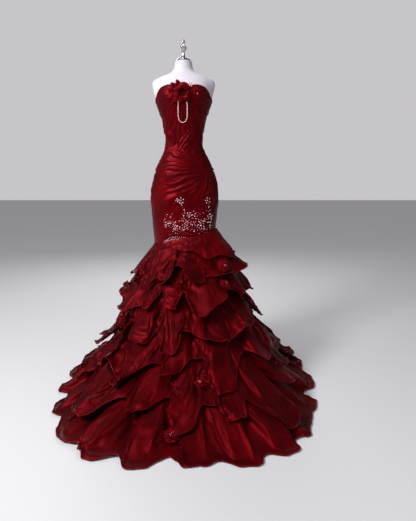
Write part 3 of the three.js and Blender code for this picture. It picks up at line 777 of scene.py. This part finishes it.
        # the net and the layers beneath, which hold the flounce out
        spot = place(angle, share * 1.12, hanging["hold"][index])
        inward = Vector((spot.x, spot.y, 0)).normalized() * 5
        return spot - inward
    return place, held, support


# how far the cloth beneath reaches, by angle and level, so that each flounce lies on the one below it
stack = {"angles": 360, "step": 8.0, "rows": 116, "reach": {}}


def stackKey(spot):
    turn = int((atan2(spot.x, -spot.y) + pi) / (2 * pi) * stack["angles"]) % stack["angles"]
    return turn, int(spot.z / stack["step"])


def layDown(bm):
    fresh = {}
    for vert in bm.verts:
        spot = vert.co / mm
        key = stackKey(spot)
        fresh[key] = max(fresh.get(key, 0.0), hypot(spot.x, spot.y))
    wide = {}
    for (turn, row), reach in fresh.items():
        for a in (-1, 0, 1):
            for b in (-1, 0, 1):
                key = ((turn + a) % stack["angles"], row + b)
                wide[key] = max(wide.get(key, 0.0), reach)
    for key, reach in wide.items():
        stack["reach"][key] = max(stack["reach"].get(key, 0.0), reach)


def clearOf(spot):
    # the cloth beneath, read smoothly between its cells
    turn = (atan2(spot.x, -spot.y) + pi) / (2 * pi) * stack["angles"] - 0.5
    row = spot.z / stack["step"] - 0.5
    i, j = floor(turn), floor(row)
    found = 0.0
    for a, b, weight in ((0, 0, (1 - turn + i) * (1 - row + j)), (1, 0, (turn - i) * (1 - row + j)),
                         (0, 1, (1 - turn + i) * (row - j)), (1, 1, (turn - i) * (row - j))):
        found += weight * stack["reach"].get(((i + a) % stack["angles"], j + b), 0.0)
    return found


def liftOver(bm, clear):
    for vert in bm.verts:
        spot = vert.co / mm
        reach = hypot(spot.x, spot.y)
        need = clearOf(spot) + clear
        if reach < need:
            vert.co.x *= need / reach
            vert.co.y *= need / reach


def rolled(place, rows, share, across):
    # past the last row of a flounce its edge turns over outwards on itself
    if share <= 1.0:
        spot = place(across, share)
        return Vector((spot.x, spot.y, max(spot.z, flouncing["floor"])))
    foot = place(across, 1.0)
    down = (foot - place(across, 0.985)).normalized()
    along = (place(across + 0.0006, 1.0) - place(across - 0.0006, 1.0)).normalized()
    out = along.cross(down) * -1
    turn = (share - 1.0) * rows / flouncing["rollRows"] * 1.6 * pi
    spot = foot + flouncing["roll"] * (down * sin(turn) + out * (1 - cos(turn)))
    return Vector((spot.x, spot.y, max(spot.z, flouncing["floor"])))


def allRound(shape):
    return lambda u, v: shape(2 * pi * u - pi, v)


def hung(place, held, columns, rows, closed, under):
    # cloth that is laid by place(u, v) falls on to what is under it; returns where it comes to rest
    bm = clothGrid(columns, rows, place, 1, 1, closed)
    liftOver(bm, flouncing["clear"])
    uv = bm.loops.layers.uv.active
    keys = {}
    for vert in bm.verts:
        across, down = vert.link_loops[0][uv].uv
        i = round(across * columns)
        keys[vert.index] = (i % columns if closed else i, round(-down * rows))
    falling = plainObject("falling", bm)
    seam = falling.vertex_groups.new(name="seam")
    for at, (i, j) in keys.items():
        weight = held(i / columns, j / rows)
        if weight > 0:
            seam.add([at], weight, "REPLACE")
    fall = falling.modifiers.new("fall", "CLOTH")
    cloth = fall.settings
    cloth.vertex_group_mass = "seam"
    cloth.quality = hanging["quality"]
    cloth.mass = hanging["mass"]
    cloth.tension_stiffness = hanging["stretch"]
    cloth.compression_stiffness = hanging["stretch"]
    cloth.shear_stiffness = hanging["shear"]
    cloth.bending_stiffness = hanging["bend"]
    cloth.air_damping = hanging["damping"]
    cloth.effector_weights.gravity = hanging["gravity"]
    fall.collision_settings.distance_min = hanging["gap"] * mm
    fall.collision_settings.collision_quality = hanging["care"]
    for other in under:
        other.modifiers.new("solid", "COLLISION")
        other.collision.thickness_outer = hanging["gap"] * mm
        other.collision.cloth_friction = hanging["friction"]
    for frameNumber in range(1, hanging["frames"] + 1):
        bpy.context.scene.frame_set(frameNumber)
    shaped = falling.evaluated_get(bpy.context.evaluated_depsgraph_get())
    rest = {}
    for vert in shaped.data.vertices:
        rest[keys[vert.index]] = vert.co / mm
    falling.modifiers.remove(fall)
    for vert in falling.data.vertices:
        vert.co = rest[keys[vert.index]] * mm
    for other in under:
        other.modifiers.clear()
    bpy.context.scene.frame_set(1)

    def resting(u, v):
        across = u * columns
        down = min(max(v, 0.0), 1.0) * rows
        i, j = floor(across), min(int(down), rows - 1)
        if not closed:
            i = min(max(i, 0), columns - 1)
        lines = []
        for b in (-1, 0, 1, 2):
            row = min(max(j + b, 0), rows)
            if closed:
                points = [rest[((i + a) % columns, row)] for a in (-1, 0, 1, 2)]
            else:
                points = [rest[(min(max(i + a, 0), columns), row)] for a in (-1, 0, 1, 2)]
            lines.append(spline(*points, across - i))
        return spline(*lines, down - j)
    return resting, falling


def addFlounces():
    # from the floor up: each falls on its support, the ground and the two flounces laid before it
    under = [flatSquare("ground", 3)]
    for index in reversed(range(len(flounces))):
        print("flounce", index + 1)
        place, held, support = flouncePlace(index)
        hem = [place(2 * pi * i / 720, 1.0) for i in range(721)]
        around = sum((b - a).length for a, b in zip(hem, hem[1:]))
        deep = (place(0, 1.0) - place(0, 0.0)).length + flouncing["slack"]
        inner = plainObject("inner", clothGrid(*hanging["inner"], allRound(support), 1, 1, closed=True))
        columns, rows = round(around / hanging["spacing"]), max(round(deep / hanging["spacing"]), 8)
        rest, falling = hung(allRound(place), allRound(held), columns, rows, True,
                             [inner] + under[:1] + under[1:][-2:])
        bpy.data.objects.remove(inner)
        under.append(falling)
        columns = round(around / flouncing["fine"][index])
        rows = round(deep / flouncing["fine"][index])
        whole = rows + flouncing["rollRows"]
        bm = clothGrid(columns, whole, lambda u, v: rolled(rest, rows, v * whole / rows, u),
                       around * mm, deep * mm, closed=True)
        layDown(bm)
        nodes = [f"flounce_{index + 1}_cut_{cut}" for cut in (1, 2, 3)]
        flounce = piece(f"flounce_{index + 1}_wavy", bm, organza, nodes)
        # the faces of the rolled edge take the lighter taffeta, a painted highlight along the hem
        flounce.data.materials.append(highlightTaffeta)
        uvs = flounce.data.uv_layers[0].data
        edge = -deep * mm * (rows - 0.6) / whole
        for polygon in flounce.data.polygons:
            if all(uvs[loop].uv.y < edge for loop in polygon.loop_indices):
                polygon.material_index = 1
        thicken(flounce, flouncing["thick"])
    return under


under = addFlounces()

drape = {
    "top": 877, "from": -24, "to": 204, "drop": 122, "least": 16, "flare": 112, "wave": 10, "waves": 11,
    "wide": 0.9, "long": 0.16, "coarse": (76, 11), "fine": (150, 22), "thick": 0.9,
}


def drapePlace(angle, share):
    low, high = radians(drape["from"]), radians(drape["to"])
    across = min(max((angle - low) / (high - low), 0.0), 1.0)
    deep = lerp(drape["least"], drape["drop"], sin(pi * across) ** 0.7)
    deep += 20 * across * (1 - across) * 4 * noise.noise((angle * 3.1, 0.5, 8.8))
    down = deep / drape["drop"] * max(share, 0.0)
    crest = cos(drape["waves"] * angle + 1.1 * share)
    stray = 0.7 * noise.noise((angle * 2.2, share * 2, 5))
    swag = 9 * min(4 * share, 1) * (fold(3.2 * share + 1.6 * angle + stray) - 0.5)
    crushed = 12 * share * (0.16 - abs(noise.noise((angle * 9, share * 3, 12))))
    out = (5.0 + 0.82 * drape["flare"] * down ** 1.5 + drape["wave"] * down * share * crest
           + swag * across ** 0.3 + crushed)
    return shellPoint(angle, drape["top"] + 4 - drape["drop"] * down, max(out, 4.6))


def drapeHeld(u, v):
    # sewn down along its top and at both ends
    return 1 - ease((v - 0.04) / 0.1) * ease((u - 0.1) / 0.08) * ease((0.9 - u) / 0.08)


def addDrape():
    low, high = radians(drape["from"]), radians(drape["to"])
    rest, falling = hung(lambda u, v: drapePlace(lerp(low, high, u), v), drapeHeld, *drape["coarse"], False,
                         under[1:][-3:])
    bpy.data.objects.remove(falling)
    columns, rows = drape["fine"]
    whole = rows + flouncing["rollRows"]
    bm = clothGrid(columns, whole, lambda u, v: rolled(rest, rows, v * whole / rows, u),
                   drape["wide"], drape["long"])
    made = piece("drapeSide", bm, taffeta, ["drape_side"])
    thicken(made, drape["thick"])


addDrape()
for helper in under:
    bpy.data.objects.remove(helper)

print("roses")
bustRose = {"radius": 52, "height": 30}
coil = {"columns": 44, "rows": 8, "long": 0.9, "wide": 0.04, "cut": 0.42, "thick": 0.8}


def nodeFrame(node):
    # the middle of a rose's flat back and the way the rose faces, from the node's own mesh
    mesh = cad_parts[node].data
    best = {}
    for polygon in mesh.polygons:
        key = tuple(round(c, 2) for c in polygon.normal)
        best.setdefault(key, [0.0, Vector((0, 0, 0)), polygon.normal.copy()])
        best[key][0] += polygon.area
        best[key][1] += polygon.center * polygon.area
    area, centre, normal = max(best.values(), key=lambda item: item[0])
    return centre / area, -normal


def rosePatch(radius, height, turns, heart, ruffles, seed):
    # a strip gathered along one edge and coiled from the heart outwards, its free edge cut in petals
    def place(across, down):
        free = 1 - down
        turn = 2 * pi * turns * across ** 0.75 + seed
        start = lerp(heart, 0.6, across) * radius
        lean = radians(lerp(6, 74, across ** 0.7)) + 0.8 * free * free
        petal = 0.62 + 0.38 * abs(sin(ruffles * turn / 2)) ** 0.7
        wide = lerp(0.36, 0.46, across) * radius * petal
        wave = sin(1.7 * ruffles * turn + 1.7 * sin(2 * turn + seed)) * free * free
        stray = noise.noise((turn * 0.9, free * 2, seed))
        reach = start + wide * free * sin(lean) * (1 + 0.45 * stray) + 0.07 * radius * wave
        lift = wide * free * cos(lean) * 1.15 + height * 0.45 * (1 - across) + 0.11 * radius * wave
        return Vector((reach * cos(turn), reach * sin(turn), max(lift, 0.0) + 0.8))
    return place


def leaves(bm, spots, centre, sideways, level, normal):
    # ruffled leaves of cloth: each starts at a reach and turn from the rose's middle and lies on the gown
    uv = bm.loops.layers.uv.verify()
    for reach, turn, long, wide, lift, seed in spots:
        made = bmesh.ops.create_grid(bm, x_segments=10, y_segments=14, size=0.5)["verts"]
        own = set(made)
        spotsOf = {vert: (vert.co.x, vert.co.y + 0.5) for vert in made}
        for face in {f for v in made for f in v.link_faces}:
            for loop in face.loops:
                across, along = spotsOf[loop.vert]
                loop[uv].uv = (across * wide * mm, along * long * mm)
        forward = sideways * cos(turn) + level * sin(turn)
        aside = normal.cross(forward)
        for vert in own:
            across, along = spotsOf[vert]
            full = sin(pi * (0.08 + 0.9 * along) ** 0.8) ** 0.75
            ruffle = 3.2 * sin(9 * along + seed) * (2 * abs(across)) ** 2 * (1 if across > 0 else -1)
            up = 2 + lift * along ** 1.5 + 5.5 * (0.5 - abs(across)) * along + ruffle - 7 * along ** 4
            flat = forward * (reach + long * along) + aside * (wide * across * full)
            vert.co = centre + mm * (flat + normal * up)


def addRose(name, node, radius, height, turns, heart, ruffles, seed):
    centre, normal = nodeFrame(node)
    up = Vector((0, 0, 1))
    sideways = up.cross(normal).normalized()
    level = normal.cross(sideways)
    place = rosePatch(radius, height, turns, heart, ruffles, seed)
    turned = Matrix((sideways, level, normal)).transposed()
    bm = clothGrid(round(turns * coil["columns"]), coil["rows"],
                   lambda u, v: turned @ place(u, v) + centre / mm, coil["long"], coil["wide"])
    # the roses are drawn in the lighter taffeta, a painted highlight over their petals
    made = piece(name, bm, highlightTaffeta, [node])
    thicken(made, coil["thick"])
    return centre, normal, sideways, level


roseFrames = []
for i, rose in enumerate(roses):
    name = f"roseSkirt{i + 1}"
    roseFrames.append(addRose(name, f"rose_skirt_{i + 1}", rose[3], rose[4], 3.4, 0.08, 5, i * 1.3))
bustFrame = addRose("roseBust", "rose_bust", bustRose["radius"], bustRose["height"], 2.2, 0.34, 3, 0.4)

bustLeaves = [
    # reach, turn, length, width, lift, seed
    (34, 168, 52, 34, 6, 0.3), (32, 196, 50, 32, 4, 1.4), (34, 142, 46, 30, 8, 2.2),
    (36, 116, 38, 28, 6, 3.1), (32, 222, 44, 30, 5, 4.0), (30, 250, 30, 24, 3, 5.2),
]


def addLeaves():
    centre, normal, sideways, level = bustFrame
    spots = []
    for reach, turn, *rest in bustLeaves:
        spots.append((reach, radians(turn if sideways.x > 0 else 180 - turn), *rest))
    bm = bmesh.new()
    leaves(bm, spots, centre, sideways, level, normal)
    # the leaves are drawn in the lighter taffeta too, a painted highlight
    made = piece("roseLeaves", bm, highlightTaffeta)
    thicken(made, coil["thick"])


addLeaves()

print("zip")
zipTape = {"top": 1621, "foot": 1210, "half": 5, "columns": 10, "rows": 206, "thick": 0.4}


def addZipTape():
    low, high = zipTape["foot"], zipTape["top"]

    def place(across, down):
        level = lerp(high, low, down)
        spot = bodyPoint(pi, level, seams["cloth"] + 0.6)
        off = (across - 0.5) * 2 * zipTape["half"]
        ridge = 0.7 * exp(-(off / 1.3) ** 2) * (1 if int(level / 2) % 2 else 0.6)
        return Vector((-off, spot.y - off * off * 0.004 + ridge, level))
    bm = clothGrid(zipTape["columns"], zipTape["rows"], place, 0.01, 0.41)
    thicken(piece("zipTape", bm, lining), zipTape["thick"])


addZipTape()
for node in ("zip_slider", "zip_pull"):
    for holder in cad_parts[node].material_slots:
        holder.material = zipLacquer

print("beads")


def bodySpot(x, z, lift):
    # the point of the gown's front at a place seen from the front, in millimetres
    level = z
    angle = 0.0
    for _ in range(6):
        shape = shellAt(level)
        angle = asin(max(min(x / (shape[0] + 4), 0.98), -0.98))
        level = z - shape[3] * sin(angle)
    deep = hips["ridge"] * gathers(angle, level)
    return bodyPoint(angle, level, seams["cloth"] - seams["sunk"] + deep + lift)


def beadPiece(name, spots, finish):
    bm = bmesh.new()
    for spot, size in spots:
        bmesh.ops.create_icosphere(bm, subdivisions=1, radius=size * mm, matrix=Matrix.Translation(spot * mm))
    piece(name, bm, finish, flat=True)


# seen from the front: lines of beads, then flowers as x, z, size, petals and turn
stems = [
    [(-112, 944), (-70, 936), (-20, 930), (40, 922), (96, 926), (150, 934)],
    [(150, 934), (158, 985), (146, 1035), (132, 1094)],
    [(-104, 945), (-112, 975), (-92, 1012)], [(-84, 948), (-80, 985), (-66, 1016)],
    [(0, 1000), (6, 1036), (-10, 1062), (-20, 1090)],
    [(-4, 1014), (40, 1028), (92, 1022), (140, 1030)],
    [(-60, 968), (0, 975), (60, 968), (140, 985)],
]
trail = [(-116, 848), (-84, 866), (-48, 874), (4, 872)]
flowers = [
    (-92, 962, 13, 5, 0.2), (-46, 938, 12, 5, 0.9), (6, 946, 15, 6, 0.5), (62, 1004, 15, 5, 0.1),
    (98, 950, 16, 6, 0.7), (30, 1012, 12, 5, 1.1), (148, 1000, 13, 5, 0.3), (134, 1092, 14, 5, 0.6),
    (-14, 1092, 15, 5, 0.4), (-34, 1094, 9, 4, 0.2),
]
beadSizes = {"heart": 4.0, "petal": 3.5, "stem": (2.2, 3.6, 1.6), "loose": (1.6, 2.4, 3.8, 1.8), "count": 84}


def flower(x, z, size, petals, turn):
    found = [(x, z, beadSizes["heart"])]
    for k in range(petals):
        a = turn + 2 * pi * k / petals
        found.append((x + size * cos(a), z + size * sin(a), beadSizes["petal"]))
    return found


def spray():
    # a garland of bead flowers over the front of the thigh, with sprigs that climb and trail
    found = []
    for s, stem in enumerate(stems):
        for k, spot in enumerate(catmull([Vector(p) for p in stem], 3)):
            x = spot.x + 7 * noise.noise((k * 0.7, 9.1, s))
            z = spot.y + 12 * noise.noise((k * 0.57, 2.2, s))
            found.append((x, z, beadSizes["stem"][k % 3]))
    for one in flowers:
        found += flower(*one)
    for i, p in enumerate(catmull([Vector(p) for p in trail], 9)):
        found.append((p.x, p.y + 12 * noise.noise((i * 0.8, 1.1, 4)), 3.6 if i % 2 else 2.0))
        if i % 2:
            found.append((p.x + 4, p.y + 12 + 8 * noise.noise((i * 0.6, 3.1, 4)), 2.4))
    # loose stones between the flowers
    for k in range(beadSizes["count"]):
        a, b = (k * 0.618034) % 1, (k * 0.754878) % 1
        x = -76 + 236 * a + 8 * noise.noise((k * 1.7, 0.3, 6))
        z = 900 + 92 * b + 8 * noise.noise((k * 1.3, 4.4, 2))
        if noise.noise((x * 0.02, z * 0.03, 5)) > -0.32:
            found.append((x, z, beadSizes["loose"][k % 4]))
    return found


sprayBeads = [(bodySpot(x, z, size * 0.6), size) for x, z, size in spray()]
beadPiece("thighBeadsClear", [bead for i, bead in enumerate(sprayBeads) if i % 3], clearGlass)
beadPiece("thighBeadsPink", sprayBeads[::3], pearlGlass)


def neckBeads():
    # a small flower of beads where the neckline dips, and one bead by itself
    spots = [(38, 1712, 5.0), (66, 1664, 3.8)]
    for k in range(6):
        spots.append((38 + 9 * cos(k * pi / 3), 1712 + 9 * sin(k * pi / 3), 4.6))
    return [(bodyPoint(asin(x / 150), z, 9.5), size) for x, z, size in spots]


beadPiece("neckBeads", neckBeads(), pearlGlass)


def roseBeads():
    spots = []
    for i, (centre, normal, sideways, level) in enumerate(roseFrames):
        radius = roses[i][3]
        for k in range(7):
            a = k * 2.4 + i
            reach = radius * 0.1 * sqrt(k + 0.4)
            spot = centre / mm + sideways * reach * cos(a) + level * reach * sin(a)
            spots.append((spot + normal * radius * 0.42, 2.2))
    return spots


beadPiece("roseBeads", roseBeads(), pearlGlass)

print("floor and light")
floorMaterial, tree = material("pale studio floor")
shader = addNode(tree, "BsdfPrincipled", {"Base Color": linear("#cfced1"), "Roughness": 0.7})
addNode(tree, "OutputMaterial", Surface=shader.outputs["BSDF"])
ground = flatSquare("floor", 30)
ground.data.materials.append(floorMaterial)

# a pale backdrop, and a dimmer room than it looks, so that the folds keep their depth
world = bpy.data.worlds.new("studio")
world.use_nodes = True
room = world.node_tree
room.nodes.clear()
rays = addNode(room, "LightPath")
dimmer = addNode(room, "MapRange", {"To Min": 0.12, "To Max": 0.68},
                 Value=rays.outputs["Is Camera Ray"])
glow = addNode(room, "Background", {"Color": linear("#eceaee")}, Strength=dimmer.outputs["Result"])
addNode(room, "OutputWorld", Surface=glow.outputs["Background"])
bpy.context.scene.world = world

overhead = addObject("overhead", bpy.data.lights.new("overhead", "SUN"))
overhead.data.energy = 1.25
overhead.data.angle = radians(55)
overhead.rotation_euler = (radians(24), radians(-20), 0)


def softLight(name, place, aim, size, power):
    light = addObject(name, bpy.data.lights.new(name, "AREA"))
    light.data.size = size
    light.data.energy = power
    light.location = place
    light.rotation_euler = (Vector(aim) - Vector(place)).to_track_quat("-Z", "Y").to_euler()


softLight("key", (-2.2, -2.3, 3.0), (0, 0, 0.85), 0.9, 150)
softLight("fill", (2.4, -2.6, 1.6), (0, 0, 0.8), 1.6, 16)
softLight("back", (-0.6, 3.4, 3.0), (0, 0, 0.8), 1.6, 58)
